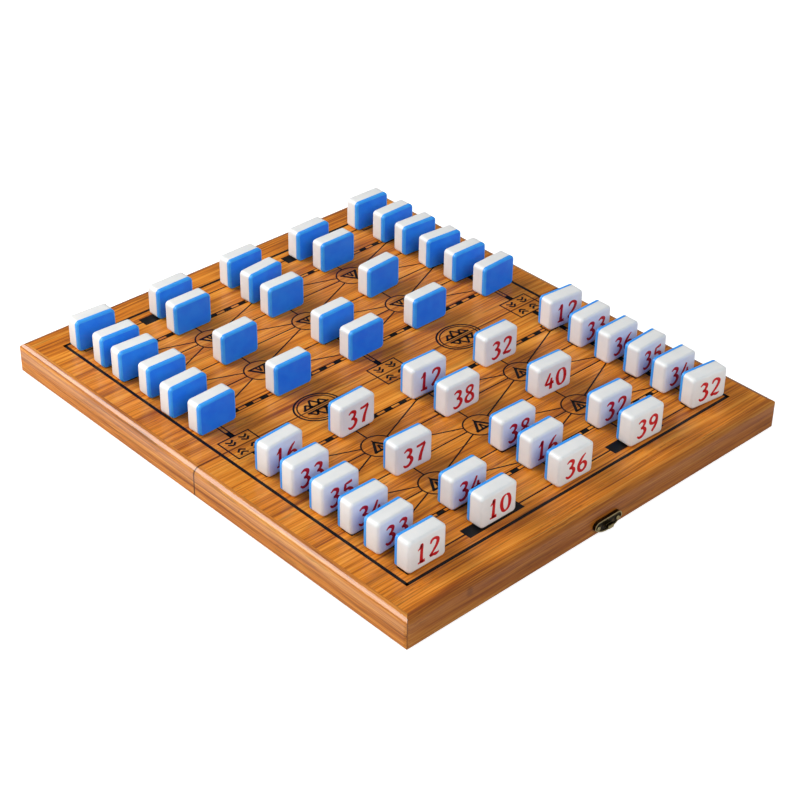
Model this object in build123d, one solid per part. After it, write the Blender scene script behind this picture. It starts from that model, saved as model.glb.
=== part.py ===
from build123d import *
import os

# A folding army chess board opened flat, with its fifty standing tiles.
# Millimetres. X runs along the fold, Y points away from the near player, Z is up.
# The origin is the middle of the open board, on the plane that the tray rims stand on.
# Each half is a shallow tray turned upside down: its outer face is the playing surface.

# Board halves
board_width = 330.0
board_length = 385.0
seam_gap = 0.3
tray_height = 22.0
panel_thickness = 5.0
rail_width = 10.0
corner_radius = 3.0
top_edge_radius = 5.0
rim_edge_radius = 2.5

# Printed grid: column and row distances from the middle of the board
inner_column = 63.6
outer_column = 125.4
rows = (32.0, 58.0, 84.0, 110.0, 133.0, 158.0)

# Tiles: a thick white layer and a thin blue back, glued face to face
tile_width = 30.0
tile_height = 23.0
tile_depth = 12.5
blue_depth = 2.8
tile_corner_radius = 3.0
white_edge_radius = 2.0
blue_edge_radius = 1.4
tile_standoff = 0.02

# Butt hinges let into the rims beside the fold
hinge_spread = 95.0
hinge_length = 32.0
leaf_thickness = 0.7
leaf_reach = 8.2
leaf_start = 1.5
knuckle_radius = 1.1
knuckle_bore = 0.55
pin_radius = 0.5
knuckle_gap = 0.2
relief_radius = 1.5
mortise_play = 0.15
hinge_screw_spread = 11.0
hinge_screw_reach = 5.0

# Flat head screws of the hinges
flat_head_radius = 1.9
flat_shank_radius = 0.9
flat_screw_length = 8.0

# Round head screws of the latch
round_head_radius = 1.5
round_head_height = 0.7
round_head_edge = 0.42
round_shank_radius = 0.8
round_screw_length = 7.0
screw_hole_play = 0.05

# Box latch: a keeper on the front edge, a plate with a swinging hasp on the back edge
keeper_half_width = 12.0
keeper_top = 11.8
keeper_shoulder = 8.3
keeper_end_height = 7.1
keeper_bottom = 2.1
keeper_depth = 2.4
keeper_rim = 0.9
keeper_recess = 0.5
keeper_bow_out = 0.9
keeper_bow_up = 1.1
# How much of the rim's width the shoulder and the bowed corner move in by
keeper_shoulder_share = 0.4
keeper_bow_share = 0.8
latch_screw_spread = 8.6
keeper_screw_height = 6.9
nose_width = 5.0
nose_height = 6.1
nose_thickness = 2.4
nose_reach = 2.6
nose_lip = 0.8

plate_half_width = 12.0
plate_bottom = 2.6
plate_top = 13.0
plate_depth = 1.6
plate_corner_radius = 3.0
plate_screw_height = 8.0
pivot_height = 2.6
pivot_offset = 1.9
hasp_knuckle_radius = 1.5
hasp_pin_radius = 0.6
hasp_pin_play = 0.06
hasp_knuckle_width = 6.0
plate_knuckle_width = 3.0
hasp_knuckle_gap = 0.25
hasp_width = 11.0
hasp_length = 13.5
hasp_thickness = 1.0
hasp_corner_radius = 3.3
hasp_offset = 1.1
hasp_slot_width = 6.0
hasp_slot_height = 3.6
hasp_slot_radius = 1.1
hasp_rest_angle = 74.0

half_width = board_width / 2
half_length = board_length / 2
seam_face = seam_gap / 2
joining_overlap = 0.2
rail_height = tray_height - panel_thickness
columns = (-outer_column, -inner_column, 0.0, inner_column, outer_column)

# How each tile was set down, by column and row counted from the left and from the fold:
# shift along X and Y in millimetres, then turn in degrees.
front_setting = {
    1: {
        1: (2.5, 0, 3.5), 2: (1, 0, 0.5), 3: (1.5, -0.5, 0.5),
        4: (2.5, 1, -0.5), 5: (1.5, 0.5, 2.5), 6: (3, 0.5, 0),
    },
    2: {1: (1, 1, 2), 3: (-0.5, -0.5, -2), 5: (1, 2, 0), 6: (1.5, 2.5, 0)},
    3: {1: (1, 2, -2), 2: (3, -1, -1), 4: (2.5, 1, -2), 5: (2, -0.5, 0), 6: (1.5, -0.5, -1.5)},
    4: {1: (-1, -2.5, -1.5), 3: (-1.5, 0, -3), 5: (2.5, 0, -3), 6: (2.5, -1.5, -2.5)},
    5: {
        1: (4, 0.5, -5), 2: (2.5, -1.5, 0.5), 3: (1.5, -1, 0),
        4: (3, 1, 2.5), 5: (2, -1, -2), 6: (2.5, -1, -7),
    },
}
back_setting = {
    1: {
        1: (-1, -2, 2), 2: (-2.5, -1, 1.5), 3: (1, 0, -1.5),
        4: (-1, 1, -3.5), 5: (0, 0, -3), 6: (0, 2.5, -3.5),
    },
    2: {1: (1.5, -0.5, 0), 3: (-1, -0.5, 1), 5: (-1.5, 0.5, -0.5), 6: (2.5, 0.5, 0.5)},
    3: {1: (1.5, -1, 0.5), 2: (0.5, 1.5, 0.5), 4: (-3, -1.5, -1), 5: (-1.5, 0, 4.5), 6: (0.5, 0, 0.5)},
    4: {1: (-2.5, 0, 0), 3: (1.5, 0, 3.5), 5: (1, -1.5, -0.5), 6: (-1.5, -2, 1)},
    5: {
        1: (1.5, -0.5, 2), 2: (0, 1, -1.5), 3: (0, 0.5, -5.5),
        4: (0, 0.5, -3.5), 5: (0.5, 2, 0.5), 6: (-1, 3.5, -1.5),
    },
}


def block(x_low, x_high, y_low, y_high, z_low, z_high):
    """A plain box between the given limits."""
    box = Box(x_high - x_low, y_high - y_low, z_high - z_low, align=(Align.MIN, Align.MIN, Align.MIN))
    return Pos(x_low, y_low, z_low) * box


def rod_along_x(x_low, x_high, y, z, radius):
    """A cylinder lying along X."""
    rod = Cylinder(radius, x_high - x_low, align=(Align.CENTER, Align.CENTER, Align.MIN))
    return Pos(x_low, y, z) * Rot(0, 90, 0) * rod


def mirrored_half(solids):
    """The same solids on the other side of the fold."""
    return [mirror(solid, about=Plane.XZ) for solid in solids]


def save(name, solids):
    """Write one sub-part file from its separate solids."""
    parts = [solid.solid() if not isinstance(solid, Solid) else solid for solid in solids]
    export_step(parts[0] if len(parts) == 1 else Compound(children=parts), f"parts/{name}.step")


# Board


def half_body():
    """Outer form of the front half, square at the fold.

    Three prisms share one form, so the roundings meet in sharp mitres at the two outer corners:
    the side view along X, the end view along Y, and the plan with its eased upright corners.
    """
    length = half_length - seam_face
    side_view = Pos((-half_length - seam_face) / 2, tray_height / 2) * Rectangle(length, tray_height)
    outer = side_view.vertices().group_by(Axis.X)[0].sort_by(Axis.Y)
    side_view = fillet(outer[0], rim_edge_radius)
    outer = side_view.vertices().sort_by(Axis.X)[:2] + side_view.vertices().sort_by(Axis.Y)[-2:]
    side_view = fillet(min(outer, key=lambda corner: corner.X - corner.Y), top_edge_radius)
    end_view = Pos(0, tray_height / 2) * Rectangle(board_width, tray_height)
    end_view = fillet(end_view.vertices().group_by(Axis.Y)[0], rim_edge_radius)
    end_view = fillet(end_view.vertices().group_by(Axis.Y)[-1], top_edge_radius)
    plan = Pos(0, (-half_length - seam_face) / 2) * Rectangle(board_width, length)
    plan = fillet(plan.vertices().group_by(Axis.Y)[0], corner_radius)
    along_x = Plane(origin=(-half_width, 0, 0), x_dir=(0, 1, 0), z_dir=(1, 0, 0))
    along_y = Plane(origin=(0, -half_length, 0), x_dir=(-1, 0, 0), z_dir=(0, 1, 0))
    body = extrude(along_x * side_view, board_width)
    body &= extrude(along_y * end_view, length)
    return body & extrude(plan, tray_height)


def panel_space():
    """Room of the playing panel: the whole flat top, let into a rebate in the three outer rails."""
    side = half_width - top_edge_radius
    return block(-side, side, -half_length + top_edge_radius, -seam_face, rail_height, tray_height)


def rail_regions():
    """Plan regions of the rails: mitred at the outer corners, with the fold rail butted between the sides."""
    x_out, x_in = half_width, half_width - rail_width
    y_out, y_in = -half_length, -half_length + rail_width
    y_fold, y_fold_in = -seam_face, -seam_face - rail_width
    left = [(-x_out, y_out), (-x_in, y_in), (-x_in, y_fold), (-x_out, y_fold)]
    front = [(-x_out, y_out), (x_out, y_out), (x_in, y_in), (-x_in, y_in)]
    fold = [(-x_in, y_fold), (-x_in, y_fold_in), (x_in, y_fold_in), (x_in, y_fold)]
    right = [(-x, y) for x, y in left]
    return [left, front, right, fold]


def hinge_mortise(x):
    """Space cut from the rims for one hinge: a shallow bed for the leaf and a trough for the knuckles."""
    reach = leaf_reach + mortise_play
    half = hinge_length / 2 + mortise_play
    bed = block(x - half, x + half, -reach, 0, -1, leaf_thickness + screw_hole_play)
    trough = rod_along_x(x - half, x + half, 0, -seam_face, relief_radius)
    return bed + trough


def tray_rails(latch_height):
    """Front half's four rails, with beds for the hinges and holes for the screws."""
    frame = half_body() - panel_space()
    rails = []
    for region in rail_regions():
        rail = frame & extrude(make_face(Polyline(*region, close=True)), tray_height)
        for x in (-hinge_spread, hinge_spread):
            rail -= hinge_mortise(x)
        for x in hinge_screw_places():
            rail -= Pos(x, -hinge_screw_reach, 0) * flat_screw(screw_hole_play)
        for x in (-latch_screw_spread, latch_screw_spread):
            rail -= latch_screw_hole(x, latch_height)
        rails.append(rail)
    return rails


# Hinges


def hinge_screw_places():
    """Positions along X of the two screws in each hinge leaf."""
    return [side * hinge_spread + step * hinge_screw_spread for side in (-1, 1) for step in (-1, 1)]


def knuckle_spans(x):
    """Ends along X of the three knuckles of one hinge: outer, middle, outer."""
    third = hinge_length / 3
    gap = knuckle_gap / 2
    starts = [x - hinge_length / 2 + index * third for index in range(3)]
    return [(start + gap, start + third - gap) for start in starts]


def flat_screw(grow=0.0):
    """A countersunk screw pointing up, head flush at z = 0; grow widens it into its hole."""
    head_depth = flat_head_radius - flat_shank_radius
    up = (Align.CENTER, Align.CENTER, Align.MIN)
    head = Cone(flat_head_radius + grow, flat_shank_radius + grow, head_depth, align=up)
    return head + Cylinder(flat_shank_radius + grow, flat_screw_length, align=up)


def hinge_leaf(x, spans):
    """Front leaf of one hinge, carrying the knuckles over the given spans."""
    low, high = x - hinge_length / 2, x + hinge_length / 2
    leaf = block(low, high, -leaf_reach, -leaf_start, 0, leaf_thickness)
    for start, end in spans:
        leaf += block(start, end, -leaf_start - joining_overlap, 0, 0, leaf_thickness)
        leaf += rod_along_x(start, end, 0, -seam_face, knuckle_radius)
    leaf -= rod_along_x(low - 1, high + 1, 0, -seam_face, knuckle_bore)
    for step in (-1, 1):
        hole = flat_screw(screw_hole_play)
        leaf -= Pos(x + step * hinge_screw_spread, -hinge_screw_reach, 0) * hole
    return leaf


def hinge_screws():
    """The front leaves' screws, tightened so that their heads are flush."""
    return [Pos(x, -hinge_screw_reach, 0) * flat_screw() for x in hinge_screw_places()]


def front_hinge_leaves():
    """Leaves with two outer knuckles, with their screws."""
    leaves = [hinge_leaf(x, knuckle_spans(x)[::2]) for x in (-hinge_spread, hinge_spread)]
    return leaves + hinge_screws()


def back_hinge_leaves():
    """Leaves with one middle knuckle, with their screws."""
    leaves = [hinge_leaf(x, knuckle_spans(x)[1:2]) for x in (-hinge_spread, hinge_spread)]
    return mirrored_half(leaves + hinge_screws())


def hinge_pins():
    """One pin through the three knuckles of each hinge."""
    half = hinge_length / 2
    return [rod_along_x(x - half, x + half, 0, -seam_face, pin_radius) for x in (-hinge_spread, hinge_spread)]


# Latch


def latch_screw_hole(x, z):
    """Pilot hole along Y through the front rail for a latch screw."""
    hole = Cylinder(round_shank_radius + screw_hole_play, 2 * round_screw_length)
    return Pos(x, -half_length, z) * Rot(90, 0, 0) * hole


def latch_screw(x, z, surface):
    """A round head screw whose head sits on a plate at depth surface off the front rail."""
    up = (Align.CENTER, Align.CENTER, Align.MIN)
    head = Cylinder(round_head_radius, round_head_height, align=up)
    head = fillet(head.edges().sort_by(Axis.Z)[-1], round_head_edge)
    shank = Pos(0, 0, -round_screw_length) * Cylinder(round_shank_radius, round_screw_length, align=up)
    return Pos(x, -half_length - surface, z) * Rot(90, 0, 0) * (head + shank)


def keeper_outline(inset):
    """Keeper's face, seen from the front: straight top, round ends and a bowed lower edge."""
    wide = keeper_half_width - inset
    shoulder = keeper_shoulder - inset * keeper_shoulder_share
    top = keeper_top - inset
    low = keeper_bottom + inset
    end = keeper_end_height
    bend = (keeper_half_width + keeper_shoulder) / 2 + keeper_bow_out - inset * keeper_bow_share
    bend_height = (top + end) / 2 + keeper_bow_up
    edges = [
        Line((-shoulder, top), (shoulder, top)),
        ThreePointArc((shoulder, top), (bend, bend_height), (wide, end)),
        ThreePointArc((wide, end), (0, low), (-wide, end)),
        ThreePointArc((-wide, end), (-bend, bend_height), (-shoulder, top)),
    ]
    return make_face(edges)


def standing_plate(face, depth, start=0.0):
    """A face given in X and Z, made into a plate that stands off the front rail."""
    return Pos(0, -half_length - start, 0) * Rot(90, 0, 0) * extrude(face, depth)


def latch_keeper():
    """Pressed keeper with a raised rim and a nose that holds the hasp, and its two screws."""
    keeper = standing_plate(keeper_outline(0.0), keeper_depth)
    keeper -= standing_plate(keeper_outline(keeper_rim), keeper_recess, keeper_depth - keeper_recess)
    face = half_length + keeper_depth - keeper_recess
    nose_end = half_length + keeper_depth + nose_reach
    nose_low = nose_height - nose_thickness / 2
    half = nose_width / 2
    nose = block(-half, half, -nose_end, -face + joining_overlap, nose_low, nose_low + nose_thickness)
    nose = fillet(nose.edges().filter_by(Axis.Z), nose_lip)
    keeper += nose
    floor = keeper_depth - keeper_recess
    places = (-latch_screw_spread, latch_screw_spread)
    for x in places:
        keeper -= latch_screw_hole(x, keeper_screw_height)
    screws = [latch_screw(x, keeper_screw_height, floor) for x in places]
    return [keeper] + screws


def plate_knuckle_spans():
    """Ends along X of the plate's two knuckles, either side of the hasp's own."""
    inner = hasp_knuckle_width / 2 + hasp_knuckle_gap
    outer = inner + plate_knuckle_width
    return [(-outer, -inner), (inner, outer)]


def latch_plate():
    """Plate on the far edge with two knuckles, the hasp's pin and two screws."""
    height = plate_top - plate_bottom
    middle = (plate_top + plate_bottom) / 2
    face = Pos(0, middle) * RectangleRounded(2 * plate_half_width, height, plate_corner_radius)
    plate = standing_plate(face, plate_depth)
    pivot_y = -half_length - pivot_offset
    knuckles = plate_knuckle_spans()
    clear = hasp_knuckle_radius + hasp_knuckle_gap
    gap = hasp_knuckle_width / 2 + hasp_knuckle_gap
    for start, end in knuckles:
        plate += rod_along_x(start, end, pivot_y, pivot_height, hasp_knuckle_radius)
    plate -= rod_along_x(-gap, gap, pivot_y, pivot_height, clear)
    plate -= rod_along_x(-plate_half_width - 1, plate_half_width + 1, pivot_y, pivot_height, hasp_pin_radius)
    pin = rod_along_x(knuckles[0][0], knuckles[1][1], pivot_y, pivot_height, hasp_pin_radius)
    places = (-latch_screw_spread, latch_screw_spread)
    for x in places:
        plate -= latch_screw_hole(x, plate_screw_height)
    screws = [latch_screw(x, plate_screw_height, plate_depth) for x in places]
    return mirrored_half([plate, pin] + screws)


def latch_hasp():
    """Slotted tongue on its own knuckle, drawn hanging straight down, then swung out to rest."""
    half = hasp_knuckle_width / 2
    outside = -hasp_offset - hasp_thickness
    below_knuckles = -hasp_knuckle_radius - hasp_knuckle_gap
    knuckle = rod_along_x(-half, half, 0, 0, hasp_knuckle_radius)
    tongue_face = Pos(0, -hasp_length / 2) * RectangleRounded(hasp_width, hasp_length, hasp_corner_radius)
    tongue = Pos(0, -hasp_offset, 0) * Rot(90, 0, 0) * extrude(tongue_face, hasp_thickness)
    tongue -= block(-hasp_width, hasp_width, outside, 0, below_knuckles, hasp_length)
    web = block(-half, half, outside, -hasp_offset, below_knuckles - joining_overlap, 0)
    hasp = knuckle + web + tongue
    nose_drop = pivot_height + seam_gap + nose_height
    slot = RectangleRounded(hasp_slot_width, hasp_slot_height, hasp_slot_radius)
    hasp -= Pos(0, 0, -nose_drop) * Rot(90, 0, 0) * extrude(slot, -outside)
    hasp -= rod_along_x(-half - 1, half + 1, 0, 0, hasp_pin_radius + hasp_pin_play)
    swung = Pos(0, -half_length - pivot_offset, pivot_height) * Rot(-hasp_rest_angle, 0, 0) * hasp
    return mirrored_half([swung])


# Tiles


def tile_layer(depth, edge_radius):
    """One layer of a tile: rounded in front view, with its outer face's edge rounded."""
    outline = RectangleRounded(tile_width, tile_height, tile_corner_radius)
    layer = Rot(90, 0, 0) * extrude(outline, depth)
    outer_face = layer.faces().sort_by(Axis.Y)[0]
    return fillet(outer_face.edges(), edge_radius)


def tile():
    """A standing tile at the origin, white face towards -Y, resting on its long edge."""
    white_depth = tile_depth - blue_depth
    middle = tile_depth / 2 - blue_depth
    white = Pos(0, middle, tile_height / 2) * tile_layer(white_depth, white_edge_radius)
    blue = Pos(0, middle, tile_height / 2) * Rot(0, 0, 180) * tile_layer(blue_depth, blue_edge_radius)
    return [white, blue]


def save_tiles(side, setting, direction, facing):
    """Write one half's tiles, each on its station with its own small shift and turn."""
    layers = tile()
    for column, stations in setting.items():
        for row, (shift_x, shift_y, turn) in stations.items():
            x = columns[column - 1] + shift_x
            y = direction * rows[row - 1] + shift_y
            place = Pos(x, y, tray_height + tile_standoff) * Rot(0, 0, facing + turn)
            save(f"{side}_tile_{column}_{row}", [place * layer for layer in layers])


def main():
    """Write every sub-part."""
    os.makedirs("parts", exist_ok=True)
    panel = panel_space()
    save("front_panel", [panel])
    save("back_panel", mirrored_half([panel]))
    save("front_rails", tray_rails(keeper_screw_height))
    save("back_rails", mirrored_half(tray_rails(plate_screw_height)))
    save("front_hinge_leaves", front_hinge_leaves())
    save("back_hinge_leaves", back_hinge_leaves())
    save("hinge_pins", hinge_pins())
    save("latch_keeper", latch_keeper())
    save("latch_plate", latch_plate())
    save("latch_hasp", latch_hasp())
    save_tiles("front", front_setting, -1, 0)
    save_tiles("back", back_setting, 1, 180)


main()
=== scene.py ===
import math

import bpy
import numpy as np
from mathutils import Matrix, Vector


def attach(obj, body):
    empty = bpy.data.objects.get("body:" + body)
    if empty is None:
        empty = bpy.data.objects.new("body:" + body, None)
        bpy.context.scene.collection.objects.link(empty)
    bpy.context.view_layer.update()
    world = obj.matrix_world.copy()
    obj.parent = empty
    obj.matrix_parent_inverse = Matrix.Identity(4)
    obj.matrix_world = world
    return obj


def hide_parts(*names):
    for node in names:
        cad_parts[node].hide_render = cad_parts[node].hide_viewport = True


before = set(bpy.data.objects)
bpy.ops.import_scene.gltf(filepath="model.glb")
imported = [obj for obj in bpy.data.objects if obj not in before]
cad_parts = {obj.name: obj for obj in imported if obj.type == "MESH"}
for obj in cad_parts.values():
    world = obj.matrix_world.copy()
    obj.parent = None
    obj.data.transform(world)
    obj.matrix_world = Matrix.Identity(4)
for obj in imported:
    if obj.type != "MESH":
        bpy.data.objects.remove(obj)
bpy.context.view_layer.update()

# A folding army chess board in bamboo with fifty standing tiles, on a white studio floor.
# Metres, in the frame of the CAD model: X along the fold, Y away from the near player, Z up.

MM = 0.001
PER_METRE = 1000.0

# Board, in millimetres
BOARD_WIDTH = 330.0
BOARD_LENGTH = 385.0
BOARD_TOP = 22.0
RAIL_WIDTH = 10.0
TOP_EDGE = 5.0

# Printed grid, in millimetres
COLUMNS = (-125.4, -63.6, 0.0, 63.6, 125.4)
ROWS = (32.0, 58.0, 84.0, 110.0, 133.0, 158.0)
CAMPS = ((2, 2), (4, 2), (3, 3), (2, 4), (4, 4))
INK_BELOW = 0.02
INK_ABOVE = 0.012

# Tiles, in millimetres
TILE_WIDTH = 30.0
TILE_HEIGHT = 23.0
TILE_DEPTH = 12.5
BLUE_DEPTH = 2.8
TILE_CORNER = 3.0
SMALLEST_CORNER = 0.35
WHITE_EDGE = 2.0
BLUE_EDGE = 1.4
GLUE_BAND = 0.12
FACE_INSETS = (0.6, 3.0, 7.0)
CORNER_POINTS = 9
# Bands of faces in a layer's straight wall and in its rounding
WALL_BANDS = 3
ROUND_BANDS = 8
# Places of the plastics in a tile's list of materials
WHITE_SLOT, BLUE_SLOT, BLUE_HIGHLIGHT_SLOT = 0, 1, 2

# The widest turn of a tile from square that is looked for, and the steps of the search, in degrees
WIDEST_TURN = 10.0
TURN_STEP = 0.05

# Painted numbers, in millimetres; the digits are drawn in a box of DIGIT_WIDTH by DIGIT_HEIGHT
DIGIT_WIDTH = 10
DIGIT_HEIGHT = 14.0
NUMBER_HEIGHT = 12.8
NUMBER_GAP = 1.4
NUMBER_FOOT = 4.6
STROKE_GAIN = 1.4
STROKE_POINTS = 9
PAINT_SINK = 0.01
PAINT_DEPTH = 0.035

# Depths of the materials' bumps, in metres
WOOD_BUMP = 0.00008
PLASTIC_BUMP = 0.00006
FINE_BUMP = 0.00005

OPAQUE_WHITE = (1.0, 1.0, 1.0, 1.0)

# Rank numbers, by column from the left, rows counted from the fold
FRONT_RANKS = {
    1: {1: 16, 2: 33, 3: 35, 4: 34, 5: 33, 6: 12},
    2: {1: 37, 3: 37, 5: 34, 6: 10},
    3: {1: 12, 2: 38, 4: 38, 5: 16, 6: 36},
    4: {1: 32, 3: 40, 5: 32, 6: 39},
    5: {1: 12, 2: 33, 3: 36, 4: 35, 5: 34, 6: 32},
}
BACK_RANKS = {
    1: {1: 32, 2: 34, 3: 33, 4: 36, 5: 12, 6: 12},
    2: {1: 38, 3: 40, 5: 35, 6: 10},
    3: {1: 33, 2: 39, 4: 37, 5: 35, 6: 12},
    4: {1: 16, 3: 38, 5: 33, 6: 32},
    5: {1: 37, 2: 36, 3: 16, 4: 34, 5: 34, 6: 32},
}


# Shader maths


class Sock:
    """A shader socket or a number that takes part in sums; each sum adds its Math node."""

    def __init__(self, shader, value):
        self.shader = shader
        self.value = value

    def math(self, operation, *others, clamp=False):
        return self.shader.node(
            "ShaderNodeMath", {"operation": operation, "use_clamp": clamp}, [self, *others]
        )

    def __add__(self, other):
        return self.math("ADD", other)

    def __radd__(self, other):
        return self.math("ADD", other)

    def __sub__(self, other):
        return self.math("SUBTRACT", other)

    def __rsub__(self, other):
        return Sock(self.shader, other).math("SUBTRACT", self)

    def __mul__(self, other):
        return self.math("MULTIPLY", other)

    def __rmul__(self, other):
        return self.math("MULTIPLY", other)

    def __truediv__(self, other):
        return self.math("DIVIDE", other)

    def __pow__(self, other):
        return self.math("POWER", other)

    def __abs__(self):
        return self.math("ABSOLUTE")

    def __gt__(self, other):
        return self.math("GREATER_THAN", other)

    def __lt__(self, other):
        return self.math("LESS_THAN", other)

    def clip(self):
        return self.math("ADD", 0.0, clamp=True)

    def least(self, other):
        return self.math("MINIMUM", other)

    def most(self, other):
        return self.math("MAXIMUM", other)

    def floor(self):
        return self.math("FLOOR")

    def ramp(self, low, high):
        """0 below low, 1 above high, smooth in between; low may be the larger of the two."""
        settings = {"interpolation_type": "SMOOTHSTEP"}
        if low < high:
            return self.shader.node("ShaderNodeMapRange", settings, [self, low, high, 0.0, 1.0])
        return self.shader.node("ShaderNodeMapRange", settings, [self, high, low, 1.0, 0.0])


class Shader:
    """One material's node tree."""

    def __init__(self, name):
        self.material = bpy.data.materials.new(name)
        self.material.use_nodes = True
        self.tree = self.material.node_tree
        self.surface = self.tree.nodes["Principled BSDF"]
        self.out = self.tree.nodes["Material Output"]

    def put(self, socket, value):
        if isinstance(value, Sock):
            value = value.value
        if isinstance(value, bpy.types.NodeSocket):
            self.tree.links.new(value, socket)
        else:
            socket.default_value = value

    def node(self, kind, settings=None, values=None, output=0):
        """Any node: its settings, then its inputs by order or name; gives the output asked for."""
        made = self.tree.nodes.new(kind)
        for key, setting in (settings or {}).items():
            if key == "stops":
                ramp = made.color_ramp
                while len(ramp.elements) < len(setting):
                    ramp.elements.new(0.5)
                for element, (place, colour) in zip(ramp.elements, setting):
                    element.position = place
                    element.color = (*colour, 1.0)
            else:
                setattr(made, key, setting)
        pairs = values.items() if isinstance(values, dict) else enumerate(values or [])
        for key, value in pairs:
            self.put(made.inputs[key], value)
        return Sock(self, made.outputs[output])

    def place(self):
        """Object coordinates in millimetres."""
        coordinates = self.node("ShaderNodeTexCoord", output="Object")
        values = {0: coordinates, "Scale": PER_METRE}
        return self.node("ShaderNodeVectorMath", {"operation": "SCALE"}, values)

    def split(self, vector):
        return [
            self.node("ShaderNodeSeparateXYZ", None, [vector], output=index) for index in range(3)
        ]

    def join(self, x, y, z):
        return self.node("ShaderNodeCombineXYZ", None, [x, y, z])

    def noise(self, vector, scale=1.0, detail=3.0, roughness=0.5, distortion=0.0):
        values = {
            "Vector": vector,
            "Scale": scale,
            "Detail": detail,
            "Roughness": roughness,
            "Distortion": distortion,
        }
        return self.node("ShaderNodeTexNoise", None, values)

    def mix(self, share, first, second):
        """Colour mix: first where share is 0, second where it is 1."""
        settings = {"data_type": "RGBA"}
        first = (*first, 1.0) if isinstance(first, tuple) else first
        second = (*second, 1.0) if isinstance(second, tuple) else second
        return self.node("ShaderNodeMix", settings, {0: share, 6: first, 7: second}, output=2)

    def bump(self, height, strength, distance):
        return self.node(
            "ShaderNodeBump", None, {"Strength": strength, "Distance": distance, "Height": height}
        )

    def finish(self, **values):
        """Sets the surface's sockets, named with underscores for spaces; gives the material."""
        for key, value in values.items():
            if isinstance(value, tuple) and len(value) == 3:
                value = (*value, 1.0)
            self.put(self.surface.inputs[key.replace("_", " ")], value)
        return self.material


def linear(red, green, blue):
    """A colour as seen on screen, 0 to 255, in linear light, by the sRGB curve."""
    knee, slope, offset, scale, power = 0.04045, 12.92, 0.055, 1.055, 2.4
    shares = [value / 255 for value in (red, green, blue)]
    return tuple(
        share / slope if share <= knee else ((share + offset) / scale) ** power for share in shares
    )


def shade(colour, share):
    """A darker tone of a linear colour."""
    return tuple(value * share for value in colour)


# Materials


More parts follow.
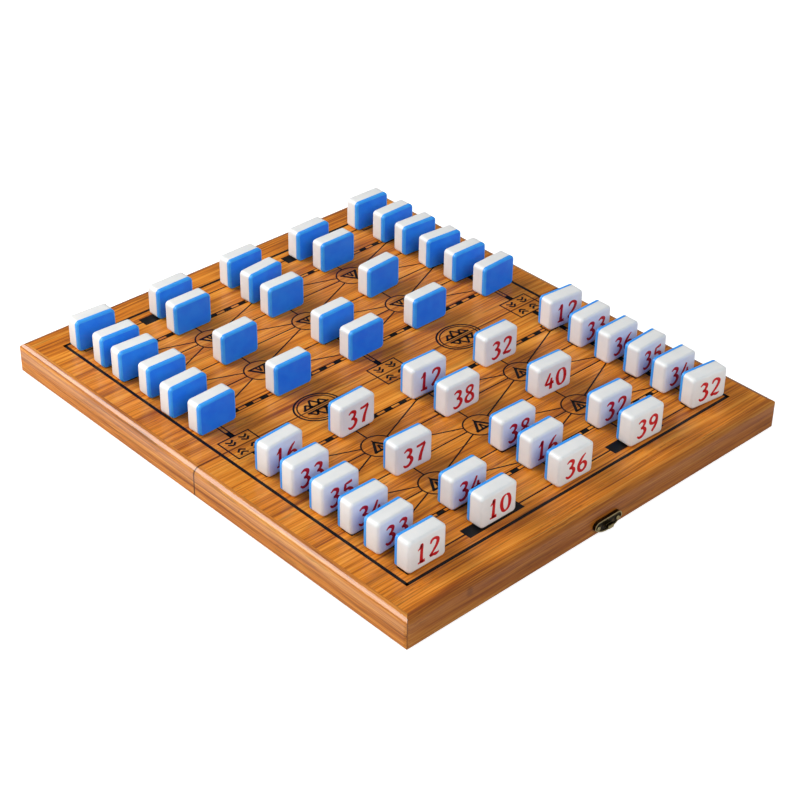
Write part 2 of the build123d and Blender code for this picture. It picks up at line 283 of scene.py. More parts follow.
def bamboo(name, light, middle, dark, side, varnish):
    """Bamboo: long fibres in three sizes, dark flecks, reddish patches and strips of uneven tone.

    side is "panel" for grain along X everywhere, "rails" for rails whose grain follows each rail.
    varnish is the weight of the clear coat where the wood is polished.
    """
    strip_width, strip_start, strip_shift = 21.5, 7.0, 137.0
    rail_shift = 13.0
    bend = 3.2
    shader = Shader(name)
    x, y, z = shader.split(shader.place())
    from_side = BOARD_WIDTH / 2 - abs(x)
    from_end = BOARD_LENGTH / 2 - abs(y)
    if side == "rails":
        along_y = ((from_end - from_side) > 0.0) * (from_side < RAIL_WIDTH + 0.1)
        along = x + (y - x) * along_y
        across = y + (x - y) * along_y + rail_shift * along_y
    else:
        along, across = x, y
    # A strip's own number shifts its grain, so that neighbours differ.
    strip = ((across + strip_start) / strip_width).floor()
    shifted = along + strip * strip_shift

    def grained(sideways, length, width, detail, roughness=0.5, offset=None):
        """Noise drawn out along the grain; length and width are the size of its spots."""
        start = shifted / length if offset is None else shifted / length + offset
        where = shader.join(start, sideways / width, z / width)
        return shader.noise(where, detail=detail, roughness=roughness)

    wander = grained(across, 90.0, 30.0, detail=1.0) - 0.5
    bent = across + wander * bend
    broad = grained(bent, 190.0, 6.0, detail=2.0)
    bands = grained(bent, 140.0, 2.0, detail=3.0, roughness=0.6)
    fibres = grained(bent, 50.0, 0.9, detail=2.0, roughness=0.65)
    flecks = grained(bent, 9.0, 0.7, detail=2.0)
    clouds = grained(across, 38.0, 17.0, detail=2.0)
    patches = grained(bent, 62.0, 4.2, detail=2.0, offset=9.0)
    tone = shader.noise(shader.join(strip * 3.7, strip * 1.3, 0.0), detail=0.0) - 0.5

    grain = 0.36 * bands + 0.30 * broad + 0.34 * fibres + tone * 0.12
    stops = [(0.385, dark), (0.50, middle), (0.615, light)]
    colour = shader.node("ShaderNodeValToRGB", {"stops": stops}, [grain])
    streak_share, fleck_share, patch_share = 0.62, 0.60, 0.60
    streak = fibres.ramp(0.54, 0.70) * clouds.ramp(0.38, 0.64) * streak_share
    fleck = flecks.ramp(0.58, 0.70) * clouds.ramp(0.44, 0.68) * fleck_share
    patch = patches.ramp(0.58, 0.74) * bands.ramp(0.34, 0.60) * patch_share
    colour = shader.mix(streak.most(fleck).most(patch).clip(), colour, shade(dark, 0.34))
    joint_share = 0.75
    if side == "rails":
        # The end rails' outer walls are darkened with painted shade, with a knot on each.
        wall_shade_share = 0.50
        wall = from_end.ramp(4.0, 0.6) * (1.0 - along_y)
        # Painted shade: the end walls' colour is mixed towards a dark brown.
        colour = shader.mix(wall * wall_shade_share, colour, linear(112, 52, 2))
        knot_x, knot_z = -116.0, 16.5
        knot_half_x, knot_half_z = 3.4, 4.0
        spot = (((x - knot_x) / knot_half_x) ** 2.0 + ((z - knot_z) / knot_half_z) ** 2.0) ** 0.5
        ragged = spot + (flecks - 0.5) * 1.1
        knot = ragged.ramp(1.1, 0.4) * wall * wall_shade_share
        colour = shader.mix(knot, colour, shade(dark, 0.5))
        joint = abs(from_end - from_side).ramp(0.45, 0.12) * (from_side < RAIL_WIDTH) * joint_share
    else:
        border = (from_side - TOP_EDGE).least(from_end - TOP_EDGE)
        joint = border.ramp(0.35, 0.05) * 0.30
    # The two edges at the fold are darkened into a dark seam line.
    joint = joint.most(abs(y).ramp(0.95, 0.40) * joint_share)
    colour = shader.mix(joint.clip(), colour, shade(dark, 0.25))
    # The walls are less polished than the top and its rounding.
    polish = z.ramp(8.0, 17.0)
    if side == "rails":
        # The side rails are polished more than the end rails.
        polish = polish * (0.3 + 0.7 * along_y)
    gloss = 0.30 + 0.10 * (1 - broad) + streak * 0.12 + 0.20 * (1 - polish)
    height = fibres * 0.6 + flecks * 0.4
    return shader.finish(
        Base_Color=colour,
        Roughness=gloss,
        IOR=1.36,
        Coat_Weight=varnish * (0.12 + 0.88 * polish),
        Coat_Roughness=0.09,
        Coat_IOR=1.5,
        Normal=shader.bump(height, 0.20, WOOD_BUMP),
    )


def printed_ink():
    """Near-black ink, thinner here and there."""
    shader = Shader("printed_ink")
    x, y, z = shader.split(shader.place())
    wear = shader.noise(shader.join(x / 6.0, y / 0.6, z), detail=3.0)
    colour = shader.mix(wear.ramp(0.55, 0.85) * 0.4, linear(5, 6, 9), linear(36, 28, 22))
    return shader.finish(Base_Color=colour, Roughness=0.5, IOR=1.3)


def white_plastic():
    """Milky white moulding: a trace of cloudiness and fine polish marks."""
    shader = Shader("white_plastic")
    where = shader.place()
    cloud = shader.noise(where, scale=0.09, detail=2.0)
    speck = shader.noise(where, scale=1.4, detail=3.0)
    colour = shader.mix(cloud.ramp(0.3, 0.7), linear(246, 245, 243), linear(240, 240, 239))
    return shader.finish(
        Base_Color=colour,
        Roughness=0.24 + speck * 0.12,
        Subsurface_Weight=0.12,
        Subsurface_Radius=Vector((0.0016, 0.0014, 0.0012)),
        Subsurface_Scale=1.0,
        IOR=1.42,
        Coat_Weight=0.10,
        Coat_Roughness=0.12,
        Normal=shader.bump(speck, 0.10, PLASTIC_BUMP),
    )


def blue_plastic(name, deep, bright):
    """Bright blue backs: slightly uneven colour under a polish."""
    shader = Shader(name)
    where = shader.place()
    cloud = shader.noise(where, scale=0.12, detail=3.0)
    speck = shader.noise(where, scale=1.6, detail=3.0)
    colour = shader.mix(cloud.ramp(0.3, 0.7), deep, bright)
    return shader.finish(
        Base_Color=colour,
        Roughness=0.30 + speck * 0.12,
        IOR=1.42,
        Coat_Weight=0.08,
        Coat_Roughness=0.14,
        Normal=shader.bump(speck, 0.12, PLASTIC_BUMP),
    )


def number_paint(name, colour, worn):
    """Paint in the engraved rank numbers."""
    shader = Shader(name)
    where = shader.place()
    patches = shader.noise(where, scale=0.8, detail=3.0)
    mixed = shader.mix(patches.ramp(0.45, 0.78) * 0.35, colour, worn)
    normal = shader.bump(patches, 0.2, FINE_BUMP)
    return shader.finish(Base_Color=mixed, Roughness=0.45, Normal=normal)


def antique_bronze(name, rub, shine, raised=0.0):
    """Dark antique bronze, rubbed bright in places.

    rub widens the bright places and shine is their colour. raised is how bright the latch keeper's
    rim, screw heads and nose are painted, by their height above the board's edge: a painted
    highlight, together with rubbed brass.
    """
    shader = Shader(name)
    where = shader.place()
    blotch = shader.noise(where, scale=0.55, detail=4.0, roughness=0.6)
    grit = shader.noise(where, scale=5.0, detail=3.0)
    colour = shader.mix(blotch.ramp(0.50 - rub, 0.72 - rub), linear(44, 35, 22), shine)
    if raised:
        # Painted highlight on the keeper's raised rim, screw heads and nose, together with rubbed
        # brass.
        out = abs(shader.split(where)[1]) - BOARD_LENGTH / 2
        rim = out.ramp(2.1, 2.3) * out.ramp(3.0, 2.7)
        heads = out.ramp(4.2, 4.7)
        colour = shader.mix((rim.most(heads) * raised).clip(), colour, linear(226, 206, 150))
    return shader.finish(
        Base_Color=colour,
        Metallic=1.0,
        Roughness=0.30 + 0.25 * grit,
        Normal=shader.bump(grit, 0.25, FINE_BUMP),
    )


def steel_pin():
    """Plain drawn steel, lightly scratched along its length."""
    shader = Shader("steel_pin")
    x, y, z = shader.split(shader.place())
    scratches = shader.noise(shader.join(x / 4.0, y / 0.08, z / 0.08), detail=3.0)
    colour = shader.mix(scratches, linear(150, 148, 142), linear(196, 194, 188))
    return shader.finish(Base_Color=colour, Metallic=1.0, Roughness=0.24 + 0.18 * scratches)


# Mesh making


def make_piece(name, points, faces, materials, face_material=None, smooth=True):
    """A mesh object from numpy arrays of points in millimetres and a list of faces."""
    mesh = bpy.data.meshes.new(name)
    mesh.from_pydata((np.asarray(points) * MM).tolist(), [], [list(face) for face in faces])
    for material in materials:
        mesh.materials.append(material)
    if face_material is not None:
        mesh.polygons.foreach_set("material_index", np.asarray(face_material, dtype=np.int32))
    mesh.polygons.foreach_set("use_smooth", np.full(len(mesh.polygons), smooth))
    mesh.update()
    piece = bpy.data.objects.new(name, mesh)
    bpy.context.scene.collection.objects.link(piece)
    return piece


class Sheet:
    """Gathers flat shapes into one mesh of thin closed plates."""

    def __init__(self):
        self.points = []
        self.faces = []
        self.count = 0

    def plate(self, outline, low, high):
        """A convex or simple outline (n, 2) in the plane, given thickness between low and high."""
        outline = np.asarray(outline, dtype=float)
        x, y = outline.T
        twice_area = np.sum(x * np.roll(y, -1) - np.roll(x, -1) * y)
        if twice_area < 0:
            outline = outline[::-1]
        n = len(outline)
        flat = np.concatenate([np.column_stack([outline, np.full(n, z)]) for z in (low, high)])
        self.points.append(flat)
        base = self.count
        self.faces.append(list(range(base + n - 1, base - 1, -1)))
        self.faces.append(list(range(base + n, base + 2 * n)))
        ahead = np.roll(np.arange(n), -1)
        self.faces += [(base + i, base + j, base + n + j, base + n + i) for i, j in enumerate(ahead)]
        self.count += 2 * n

    def band(self, path, widths, low, high, closed=False):
        """A line of changing width along a path of points, as one closed strip of quads."""
        path = np.asarray(path, dtype=float)
        n = len(path)
        widths = np.broadcast_to(np.asarray(widths, dtype=float), n)
        if closed:
            along = np.roll(path, -1, axis=0) - np.roll(path, 1, axis=0)
        else:
            along = np.gradient(path, axis=0)
        along /= np.linalg.norm(along, axis=1)[:, None]
        side = np.column_stack([-along[:, 1], along[:, 0]]) * widths[:, None] / 2
        left, right = path + side, path - side
        rings = [
            np.column_stack([edge, np.full(n, z)]) for z in (low, high) for edge in (left, right)
        ]
        self.points.append(np.concatenate(rings))
        base = self.count
        low_left, low_right, high_left, high_right = (base + k * n for k in range(4))
        last = n if closed else n - 1
        for i in range(last):
            j = (i + 1) % n
            self.faces.append((high_right + i, high_right + j, high_left + j, high_left + i))
            self.faces.append((low_left + i, low_left + j, low_right + j, low_right + i))
            self.faces.append((high_left + i, high_left + j, low_left + j, low_left + i))
            self.faces.append((low_right + i, low_right + j, high_right + j, high_right + i))
        if not closed:
            self.faces.append((low_left, low_right, high_right, high_left))
            end = n - 1
            self.faces.append((low_right + end, low_left + end, high_left + end, high_right + end))
        self.count += 4 * n

    def arrays(self):
        return np.concatenate(self.points), self.faces


# Printed grid


def line_outline(start, end, width):
    """Four corners of a straight line with square ends."""
    start, end = np.array(start, float), np.array(end, float)
    along = (end - start) / np.linalg.norm(end - start)
    side = np.array([-along[1], along[0]]) * width / 2
    return np.array([start - side, end - side, end + side, start + side])


def ring(centre, radii, squash=1.0, steps=72, start=0.0, turn=2 * math.pi):
    """Points round an ellipse, or along part of it."""
    angle = start + np.linspace(0, turn, steps, endpoint=turn < 2 * math.pi - 1e-6)
    x = centre[0] + radii * np.cos(angle)
    y = centre[1] + radii * squash * np.sin(angle)
    return np.column_stack([x, y])


class Print:
    """Draws the printed grid of one half; direction is -1 for the near half and 1 for the far one.

    Crossings are (column, row), columns counted from the left and rows from the fold. Places in
    the drawing methods have Y away from the fold.
    """

    FRAME_HALF_WIDTH = 143.0
    FRAME_END = 168.6
    FRAME_LINE = 2.3
    ROAD = 1.1
    RAIL_BAND = 3.9
    RAIL_LINE = 1.0
    RAIL_BLOCK = 5.9
    CAMP_RADIUS = 11.6
    CAMP_SQUASH = 0.95
    CAMP_LINE = 1.1
    STATION = (11.0, 4.2)
    BASE_HALF = (22.9, 4.6)
    FOLD_BOX = (12.0, 10.6)
    FOLD_RINGS = ((16.9, 1.35), (14.5, 1.0))
    FOLD_SQUASH = 0.866
    FOLD_ARROWS = (5.3, 5.4)
    SEAM = 0.15
    BASE_COLUMNS = (2, 4)

    def __init__(self, direction):
        self.direction = direction
        self.sheet = Sheet()
        self.low = BOARD_TOP - INK_BELOW
        self.high = BOARD_TOP + INK_ABOVE

    def at(self, points):
        return np.asarray(points, float) * np.array([1.0, self.direction])

    def line(self, start, end, width):
        self.sheet.plate(self.at(line_outline(start, end, width)), self.low, self.high)

    def block(self, x_low, x_high, y_low, y_high):
        corners = [(x_low, y_low), (x_high, y_low), (x_high, y_high), (x_low, y_high)]
        self.sheet.plate(self.at(corners), self.low, self.high)

    def box(self, x, y, half_width, half_height, width):
        """An outlined rectangle of mitred lines."""
        self.line((x - half_width, y - half_height), (x + half_width, y - half_height), width)
        self.line((x - half_width, y + half_height), (x + half_width, y + half_height), width)
        for side in (-1, 1):
            edge = x + side * half_width
            self.line((edge, y - half_height - width / 2), (edge, y + half_height + width / 2), width)

    def curve(self, points, widths, closed=False):
        self.sheet.band(self.at(points), widths, self.low, self.high, closed)

    def frame_line(self):
        """Heavy line round the playing field, open at the fold."""
        half, end, width = self.FRAME_HALF_WIDTH, self.FRAME_END, self.FRAME_LINE
        for side in (-1, 1):
            self.line((side * half, self.SEAM), (side * half, end + width / 2), width)
        self.line((-half - width / 2, end), (half + width / 2, end), width)

    def is_base(self, column, row):
        return row == len(ROWS) and column in self.BASE_COLUMNS

    def span(self, first, second):
        """Straight way between two crossings: middle of the first, direction, length and reaches.

        The reaches say how far the mark of each crossing runs along it, so that no line crosses
        a mark.
        """
        places = [(COLUMNS[column - 1], ROWS[row - 1]) for column, row in (first, second)]
        here, there = np.array(places)
        length = np.linalg.norm(there - here)
        along = (there - here) / length
        reaches = []
        for column, row in (first, second):
            half = np.array(self.BASE_HALF if self.is_base(column, row) else self.STATION)
            box = (half / np.maximum(np.abs(along), 1e-6)).min()
            reaches.append(self.CAMP_RADIUS if (column, row) in CAMPS else box)
        return here, along, length, reaches

    def railway(self, first, second):
        """Two thin lines with filled blocks between them, evenly spaced from crossing to crossing."""
        here, along, length, (low, high) = self.span(first, second)
        side = np.array([-along[1], along[0]]) * (self.RAIL_BAND - self.RAIL_LINE) / 2
        near, far = here + along * low, here + along * (length - high)
        for sign in (-1, 1):
            self.line(near + sign * side, far + sign * side, self.RAIL_LINE)
        pairs = max(1, round(length / (2 * self.RAIL_BLOCK)))
        step = length / pairs
        for index in range(pairs):
            middle = (index + 0.5) * step
            start = max(middle - step / 4, low)
            end = min(middle + step / 4, length - high)
            if end > start:
                self.line(here + along * start, here + along * end, self.RAIL_BAND)

    def road(self, first, second):
        """A straight road from one crossing's mark to another's."""
        here, along, length, (low, high) = self.span(first, second)
        self.line(here + along * low, here + along * (length - high), self.ROAD)

    def roads(self):
        """Thin roads along rows and columns, and from each camp to its eight neighbours."""
        pairs = set()
        for row in (2, 3, 4, 6):
            pairs |= {((column, row), (column + 1, row)) for column in range(1, 5)}
        for column in (2, 3, 4):
            pairs |= {((column, row), (column, row + 1)) for row in range(1, 6)}
        pairs |= {((column, 5), (column, 6)) for column in (1, 5)}
        for column, row in CAMPS:
            for across in (-1, 1):
                for ahead in (-1, 1):
                    pairs.add(tuple(sorted([(column, row), (column + across, row + ahead)])))
        for first, second in sorted(pairs):
            self.road(first, second)

    def railways(self):
        """Railways on rows 1 and 5 and the outer columns, and stubs to the boxes on the fold."""
        for row in (1, 5):
            for column in range(1, 5):
                self.railway((column, row), (column + 1, row))
        for column in (1, 5):
            for row in range(1, 5):
                self.railway((column, row), (column, row + 1))
        near = self.FOLD_BOX[1]
        for x in COLUMNS[0::2]:
            self.line((x, near), (x, near + self.RAIL_BLOCK), self.RAIL_BAND)
            for side in (-1, 1):
                edge = x + side * (self.RAIL_BAND - self.RAIL_LINE) / 2
                self.line((edge, near), (edge, ROWS[0] - self.STATION[1]), self.RAIL_LINE)

    def camps(self):
        """A ring with a small tent in it at each camp."""
        for column, row in CAMPS:
            x, y = COLUMNS[column - 1], ROWS[row - 1]
            self.curve(ring((x, y), self.CAMP_RADIUS, self.CAMP_SQUASH), self.CAMP_LINE, closed=True)
            self.tent(x, y)

    def tent(self, x, y):
        """A tent upright for the player of its own half: sides, door, ground line and pole."""
        top, foot, half_width, side_line = y - 5.2, y + 4.2, 6.2, 1.9
        door_top, door_half, door_line = y - 1.2, 1.7, 1.3
        ground, ground_half, ground_line = y + 4.4, 7.4, 1.7
        pole_low, pole_top, pole_line = y - 5.0, y - 7.4, 1.1
        for side in (-1, 1):
            self.line((x, top), (x + side * half_width, foot), side_line)
            self.line((x, door_top), (x + side * door_half, foot), door_line)
        self.line((x - ground_half, ground), (x + ground_half, ground), ground_line)
        self.line((x, pole_low), (x, pole_top), pole_line)

    def stations(self):
        """Outlined stations at every crossing that isn't a camp, and the two filled bases."""
        for column, x in enumerate(COLUMNS, 1):
            for row, y in enumerate(ROWS, 1):
                if (column, row) in CAMPS:
                    continue
                if self.is_base(column, row):
                    half_x, half_y = self.BASE_HALF
                    self.block(x - half_x, x + half_x, y - half_y, y + half_y)
                else:
                    self.box(x, y, *self.STATION, self.ROAD)

    def fold_marks(self):
        """Half boxes with arrowheads in columns 1, 3 and 5, and half rings with peaks in 2 and 4."""
        half_x, half_y = self.FOLD_BOX
        arrows_x, arrows_y = self.FOLD_ARROWS
        reach = half_x + self.ROAD / 2
        for x in COLUMNS[0::2]:
            self.line((x - reach, half_y), (x + reach, half_y), self.ROAD)
            for side in (-1, 1):
                self.line((x + side * half_x, self.SEAM), (x + side * half_x, half_y), self.ROAD)
                self.arrowheads(x + side * arrows_x, arrows_y)
        for x in COLUMNS[1::2]:
            for radius, width in self.FOLD_RINGS:
                # The ring's ends are lifted off the seam, so that they stay on this half.
                lift = math.asin((self.SEAM + 0.02) / (radius * self.FOLD_SQUASH))
                path = ring((x, 0.0), radius, self.FOLD_SQUASH, 61, lift, math.pi - 2 * lift)
                self.curve(path, width)
            self.peaks(x)

    def arrowheads(self, x, y):
        """Two small chevrons one above the other, pointing at the fold."""
        tip, arm_x, arm_y, width = 1.2, 2.9, 1.5, 1.5
        for offset in (-1.7, 1.3):
            point = (x, y + offset - tip)
            for side in (-1, 1):
                self.line(point, (x + side * arm_x, y + offset + arm_y), width)

    def peaks(self, x):
        """Three mountain peaks standing on a base line, their feet towards the fold."""
        base, base_half, base_line, slope_line = 2.0, 10.5, 1.7, 1.6
        self.line((x - base_half, base), (x + base_half, base), base_line)
        for offset, height, half in ((-5.6, 4.6, 3.6), (0.0, 7.6, 4.6), (5.8, 5.0, 3.6)):
            for side in (-1, 1):
                foot = (x + offset + side * half, base)
                self.line((x + offset, base + height), foot, slope_line)

    def draw(self, name, body, material):
        self.frame_line()
        self.roads()
        self.railways()
        self.stations()
        self.camps()
        self.fold_marks()
        points, faces = self.sheet.arrays()
        piece = make_piece(name, points, faces, [material], smooth=False)
        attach(piece, body)


# Tiles


def rounded_loop(half_width, half_height, radius):
    """Points round a rectangle with rounded corners, counter-clockwise, as many for any size."""
    angle = np.linspace(0, math.pi / 2, CORNER_POINTS)
    corners = []
    for turn, (sx, sz) in enumerate(((1, 1), (-1, 1), (-1, -1), (1, -1))):
        a = angle + turn * math.pi / 2
        x = sx * (half_width - radius) + radius * np.cos(a)
        z = sz * (half_height - radius) + radius * np.sin(a)
        corners.append(np.column_stack([x, z]))
    return np.concatenate(corners)


def tile_rings(edge_radius, depth, direction, start):
    """Loops of one layer from the glue line to its outer face, then in to the middle.

    The wall is straight from the glue line, then turns over a quarter circle of the edge radius.
    direction is -1 for a layer that faces -Y and 1 for one that faces +Y.
    """
    half_width, half_height = TILE_WIDTH / 2, TILE_HEIGHT / 2
    wall = depth - edge_radius
    rings = [(0.0, 0.0), (0.0, GLUE_BAND), (0.0, wall * 0.5), (0.0, wall)]
    for angle in np.linspace(0, math.pi / 2, ROUND_BANDS + 1)[1:]:
        rings.append((edge_radius * (1 - math.cos(angle)), wall + edge_radius * math.sin(angle)))
    rings += [(edge_radius + inset, depth) for inset in FACE_INSETS]
    loops = []
    for inset, reach in rings:
        radius = max(TILE_CORNER - inset, SMALLEST_CORNER)
        loop = rounded_loop(half_width - inset, half_height - inset, radius)
        y = np.full(len(loop), start + direction * reach)
        loops.append(np.column_stack([loop[:, 0], y, loop[:, 1] + half_height]))
    return loops


def tile_shape():
    """Points, faces and material numbers of a tile: white layer, blue layer, one closed skin.

    The blue layer's wall and rounding have a lighter blue of their own, a painted highlight.
    """
    glue = TILE_DEPTH / 2 - BLUE_DEPTH
    white = tile_rings(WHITE_EDGE, TILE_DEPTH - BLUE_DEPTH, -1, glue)
    blue = tile_rings(BLUE_EDGE, BLUE_DEPTH, 1, glue)
    n = len(white[0])
    loops = white[::-1] + blue
    faces, numbers = [], []

    def band(layer, slot):
        """The faces between one loop and the next."""
        a, b = layer * n, (layer + 1) * n
        for i in range(n):
            j = (i + 1) % n
            faces.append((a + i, a + j, b + j, b + i))
            numbers.append(slot)

    glue_layer = len(white) - 1
    blue_highlight_end = len(white) + WALL_BANDS + ROUND_BANDS
    for layer in range(glue_layer):
        band(layer, WHITE_SLOT)
    # The blue wall and rounding take the lighter blue of the painted highlight.
    for layer in range(len(white), len(loops) - 1):
        band(layer, BLUE_HIGHLIGHT_SLOT if layer < blue_highlight_end else BLUE_SLOT)
    band(glue_layer, WHITE_SLOT)
    faces.append(tuple(range(n - 1, -1, -1)))
    numbers.append(WHITE_SLOT)
    last = (len(loops) - 1) * n
    faces.append(tuple(range(last, last + n)))
    numbers.append(BLUE_SLOT)
    return np.concatenate(loops), faces, numbers


def smooth_path(points):
    """A curve through points given as x, z and stroke width, by the Catmull-Rom formula."""
    points = np.asarray(points, float)
    padded = np.concatenate([[2 * points[0] - points[1]], points, [2 * points[-1] - points[-2]]])
    t = np.linspace(0, 1, STROKE_POINTS, endpoint=False)[:, None]
    pieces = []
    for k in range(len(points) - 1):
        a, b, c, d = padded[k : k + 4]
        square = (2 * a - 5 * b + 4 * c - d) * t**2
        cube = (3 * b - a - 3 * c + d) * t**3
        pieces.append(0.5 * (2 * b + (c - a) * t + square + cube))
    pieces.append(points[-1][None])
    return np.concatenate(pieces)


# Brush strokes of each digit: x and z in the digits' box, and the stroke's width there
DIGITS = {
    "0": [[(5, 13.6, 0.8), (2.2, 11.6, 1.9), (1.2, 7, 2.2), (2.6, 1.8, 1.8), (5.2, 0.4, 1.2),
           (7.9, 2.4, 1.9), (8.8, 7.2, 2.2), (7.6, 12, 1.7), (5.2, 13.7, 0.7)]],
    "1": [[(2.4, 10.6, 0.6), (4.4, 12.2, 1.4), (5.6, 13.8, 1.9), (5.5, 9, 1.8), (5.3, 4, 2.0),
           (5.2, 0.3, 2.3)],
          [(2.4, 0.4, 0.8), (5.2, 0.5, 1.4), (8.4, 0.7, 1.9)]],
    "2": [[(1.6, 10.6, 1.0), (2.8, 13, 1.7), (5.6, 13.6, 1.5), (8, 11.6, 2.0), (7.2, 8, 2.0),
           (4.2, 4.2, 1.6), (1.2, 1, 1.5)],
          [(1.2, 0.9, 1.2), (4.4, 1.1, 1.6), (7, 0.7, 1.7), (9.2, 1.5, 0.7)]],
    "3": [[(1.8, 12.2, 0.8), (4.6, 13.6, 1.6), (7.6, 12, 2.0), (6.8, 9, 1.7), (4.2, 7.5, 1.0)],
          [(4.2, 7.5, 1.0), (7.2, 6.8, 1.7), (8.6, 4.2, 2.2), (6.6, 1, 1.9), (3.4, 0.3, 1.5),
           (1.2, 2, 0.7)]],
    "4": [[(5.6, 13.8, 1.2), (3.8, 9.6, 1.7), (1.2, 5, 1.5)],
          [(1, 4.9, 1.1), (5, 4.9, 1.6), (9.4, 5.3, 1.9)],
          [(7, 9.4, 1.3), (6.8, 5, 2.0), (6.6, 0.2, 2.2)]],
    "5": [[(3, 13.4, 1.3), (2.6, 10.4, 1.7), (2.2, 7.8, 1.4)],
          [(3, 13.1, 1.0), (5.6, 13.2, 1.5), (8.6, 13.7, 1.6)],
          [(2.2, 7.7, 1.1), (5.6, 8.6, 1.6), (8.6, 6, 2.2), (7.6, 2, 2.0), (4.2, 0.3, 1.6),
           (1.2, 1.9, 0.7)]],
    "6": [[(7.6, 13.7, 0.7), (4.4, 11, 1.7), (1.8, 6.6, 2.1), (2.2, 2.2, 1.9), (5, 0.4, 1.5),
           (8, 2.2, 1.9), (8.2, 5.4, 1.9), (5.6, 7.4, 1.4), (2.6, 5.8, 0.8)]],
    "7": [[(1.2, 12.6, 1.3), (4.8, 12.8, 1.6), (8.8, 13.4, 1.8)],
          [(8.7, 13.2, 1.3), (6.6, 9, 1.8), (5, 4.6, 2.1), (4.2, 0.2, 2.3)]],
    "8": [[(5.4, 7.6, 1.2), (2.6, 9.6, 1.6), (2.6, 12.4, 1.6), (5.2, 13.6, 1.4), (7.8, 12.2, 1.6),
           (7.2, 9.4, 1.6), (4.8, 7.4, 1.4), (1.8, 4.8, 1.8), (2, 1.8, 1.8), (5, 0.4, 1.6),
           (8.2, 2, 2.0), (8, 5.2, 1.8), (5.6, 7.5, 1.2)]],
    "9": [[(8, 9.6, 1.2), (5.6, 6.8, 1.5), (2.4, 8, 1.8), (2, 11.4, 1.8), (4.8, 13.6, 1.5),
           (7.6, 12, 1.8), (8.2, 8.6, 2.0), (7.2, 4.4, 2.0), (4.2, 0.4, 1.6)]],
}


def number_shape(number):
    """Brush-drawn figures lying on a tile's white face, as thin closed strips of changing width."""
    sheet = Sheet()
    scale = NUMBER_HEIGHT / DIGIT_HEIGHT
    wide = DIGIT_WIDTH * scale
    left = -(2 * wide + NUMBER_GAP) / 2
    for place, digit in enumerate(f"{number:02d}"):
        for stroke in DIGITS[digit]:
            path = smooth_path(stroke)
            x = left + place * (wide + NUMBER_GAP) + path[:, 0] * scale
            z = NUMBER_FOOT + path[:, 1] * scale
            sheet.band(np.column_stack([x, z]), path[:, 2] * scale * STROKE_GAIN, 0.0, PAINT_DEPTH)
    points, faces = sheet.arrays()
    # The sheet lies in a plane with its thickness last: stand it up on the white face.
    depth = -TILE_DEPTH / 2 + PAINT_SINK - points[:, 2]
    return np.column_stack([points[:, 0], depth, points[:, 1]]), faces


def node_points(name):
    """All corners of a CAD node, in millimetres."""
    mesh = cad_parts[name].data
    flat = np.empty(len(mesh.vertices) * 3, dtype=np.float32)
    mesh.vertices.foreach_get("co", flat)
    return flat.reshape(-1, 3).astype(float) * PER_METRE


def tile_pose(name):
    """Where a CAD tile stands: middle of its plan, height of its foot, and its turn from square.

    The turn is the one that makes the tile's plan thinnest, found by trying fine steps.
    """
    points = node_points(name)
    plan = points[:, :2]
    middle = (plan.max(axis=0) + plan.min(axis=0)) / 2
    best, turn = math.inf, 0.0
    for angle in np.radians(np.arange(-WIDEST_TURN, WIDEST_TURN + 0.001, TURN_STEP)):
        across = plan @ np.array([-math.sin(angle), math.cos(angle)])
        spread = across.max() - across.min()
        if spread < best:
            best, turn = spread, angle
    return middle, float(points[:, 2].min()), turn


def turned(points, turn):
    c, s = math.cos(turn), math.sin(turn)
    x, y, z = points.T
    return np.column_stack([c * x - s * y, s * x + c * y, z])


def place_tiles(side, ranks, facing, plastics, paint):
    """Replace one half's CAD tiles by finished ones, with their rank numbers."""
    shape, faces, numbers = tile_shape()
    for column, stations in ranks.items():
        for row, rank in stations.items():
            node = f"{side}_tile_{column}_{row}"
            (x, y), foot, turn = tile_pose(node)
            angle = facing + turn
            place = np.array([x, y, foot])
            moved = turned(shape, angle) + place
            piece = make_piece(f"{node}_shell", moved, faces, plastics, numbers)
            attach(piece, node)
            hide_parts(node)
            marks, mark_faces = number_shape(rank)
            moved = turned(marks, angle) + place
            figure = make_piece(f"{node}_number", moved, mark_faces, [paint], smooth=False)
            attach(figure, node)


# Build


TOP_LIGHT = linear(250, 168, 62)
TOP_MIDDLE = linear(223, 129, 26)
TOP_DARK = linear(146, 70, 8)
WOOD_LIGHT = linear(240, 166, 70)
WOOD_MIDDLE = linear(208, 124, 34)
WOOD_DARK = linear(140, 70, 12)

top_wood = bamboo("bamboo_top", TOP_LIGHT, TOP_MIDDLE, TOP_DARK, "panel", varnish=0.10)
rail_wood = bamboo("bamboo_rails", WOOD_LIGHT, WOOD_MIDDLE, WOOD_DARK, "rails", varnish=1.0)
ink = printed_ink()
white = white_plastic()
blue = blue_plastic("blue_plastic", linear(20, 122, 252), linear(30, 134, 255))
# A lighter blue on the blue layers' walls and roundings: a painted highlight where their edges catch
# the light.
blue_highlight = blue_plastic("blue_plastic_painted_highlight", linear(48, 156, 255), linear(60, 168, 255))
red_paint = number_paint("red_paint", linear(206, 6, 26), linear(222, 70, 76))
green_paint = number_paint("green_paint", linear(20, 96, 60), linear(70, 140, 100))
bronze = antique_bronze("bronze", 0.0, linear(128, 106, 66))
keeper_bronze = antique_bronze("keeper_bronze", 0.0, linear(128, 106, 66), raised=0.60)
bright_bronze = antique_bronze("bright_bronze", 0.12, linear(176, 150, 98))
steel = steel_pin()


def dress(node, material):
    """Give a CAD node its material."""
    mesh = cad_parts[node].data
    mesh.materials.clear()
    mesh.materials.append(material)


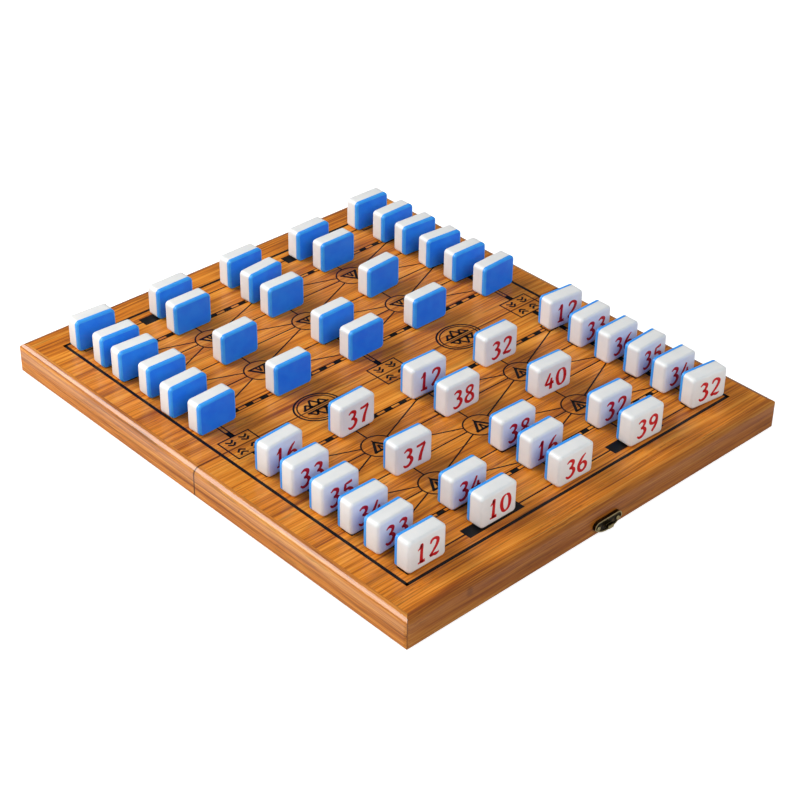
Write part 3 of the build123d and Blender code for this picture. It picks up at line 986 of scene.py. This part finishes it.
for half in ("front", "back"):
    dress(f"{half}_panel", top_wood)
    dress(f"{half}_rails", rail_wood)
    dress(f"{half}_hinge_leaves", bronze)
dress("hinge_pins", steel)
dress("latch_keeper", keeper_bronze)
dress("latch_plate", bronze)
dress("latch_hasp", bright_bronze)

Print(-1).draw("front_print", "front_half", ink)
Print(1).draw("back_print", "back_half", ink)
place_tiles("front", FRONT_RANKS, 0.0, [white, blue, blue_highlight], red_paint)
place_tiles("back", BACK_RANKS, math.pi, [white, blue, blue_highlight], green_paint)


# Studio


def soft_lamp(name, toward, distance, size, power, colour):
    """A rectangular soft box that looks at the middle of the board from a direction."""
    lamp = bpy.data.lights.new(name, "AREA")
    lamp.shape = "RECTANGLE"
    lamp.size, lamp.size_y = size
    lamp.energy = power
    lamp.color = colour
    holder = bpy.data.objects.new(name, lamp)
    direction = Vector(toward).normalized()
    holder.location = direction * distance
    holder.rotation_euler = direction.to_track_quat("Z", "Y").to_euler()
    bpy.context.scene.collection.objects.link(holder)


def studio_floor():
    """A wide pale floor, white to the camera where it is lit, that keeps the object's shadow."""
    # The hinges' knuckles reach 1.25 mm below the rims, and the floor lies just under them.
    half, floor_height, glow_strength = 6000.0, -1.3, 0.70
    shader = Shader("studio_floor")
    seen = shader.node("ShaderNodeLightPath", output="Is Camera Ray")
    shader.finish(Base_Color=linear(240, 240, 240), Roughness=0.9, Specular_IOR_Level=0.0)
    lit = Sock(shader, shader.surface.outputs[0])
    glow_values = {"Color": OPAQUE_WHITE, "Strength": glow_strength}
    glow = shader.node("ShaderNodeEmission", None, glow_values)
    both = shader.node("ShaderNodeAddShader", None, [lit, glow])
    mixed = shader.node("ShaderNodeMixShader", None, [seen, lit, both])
    shader.put(shader.out.inputs["Surface"], mixed)
    corners = np.array([(-half, -half), (half, -half), (half, half), (-half, half)])
    points = np.column_stack([corners, np.full(4, floor_height)])
    floor = make_piece("floor", points, [(0, 1, 2, 3)], [shader.material], smooth=False)


def studio_world():
    """Even pale surroundings; plain white to the camera."""
    sky, sky_strength = (0.95, 0.98, 1.0, 1.0), 0.25
    world = bpy.data.worlds.new("studio_world")
    bpy.context.scene.world = world
    world.use_nodes = True
    tree = world.node_tree
    background = tree.nodes["Background"]
    background.inputs["Color"].default_value = sky
    background.inputs["Strength"].default_value = sky_strength
    plain = tree.nodes.new("ShaderNodeBackground")
    plain.inputs["Color"].default_value = OPAQUE_WHITE
    plain.inputs["Strength"].default_value = 1.0
    path = tree.nodes.new("ShaderNodeLightPath")
    mix = tree.nodes.new("ShaderNodeMixShader")
    tree.links.new(path.outputs["Is Camera Ray"], mix.inputs[0])
    tree.links.new(background.outputs[0], mix.inputs[1])
    tree.links.new(plain.outputs[0], mix.inputs[2])
    tree.links.new(mix.outputs[0], tree.nodes["World Output"].inputs["Surface"])


def camera():
    """The photograph's viewpoint: its place in metres, and the picture's right, down and forward."""
    focal_length, sensor_width, far_clip = 85.84, 36.0, 50.0
    lens = bpy.data.cameras.new("camera")
    lens.lens = focal_length
    lens.sensor_width = sensor_width
    lens.clip_end = far_clip
    holder = bpy.data.objects.new("camera", lens)
    right = Vector((0.7327, -0.68043, 0.01296))
    down = Vector((-0.37393, -0.41842, -0.8277))
    forward = Vector((0.56862, 0.60161, -0.56101))
    place = Vector((-0.72175, -0.77284, 0.71534))
    turn = Matrix((right, -down, -forward)).transposed()
    holder.matrix_world = Matrix.Translation(place) @ turn.to_4x4()
    bpy.context.scene.collection.objects.link(holder)
    bpy.context.scene.camera = holder


bpy.context.scene.view_settings.view_transform = "Standard"
studio_world()
studio_floor()
soft_lamp(
    "key", (-0.58, 0.62, 0.60), distance=1.9, size=(1.5, 1.2), power=32.0, colour=(1.0, 0.99, 0.98)
)
soft_lamp(
    "fill", (-0.22, -1.0, 0.75), distance=4.0, size=(2.4, 2.0), power=70.0, colour=(0.90, 0.96, 1.0)
)
camera()
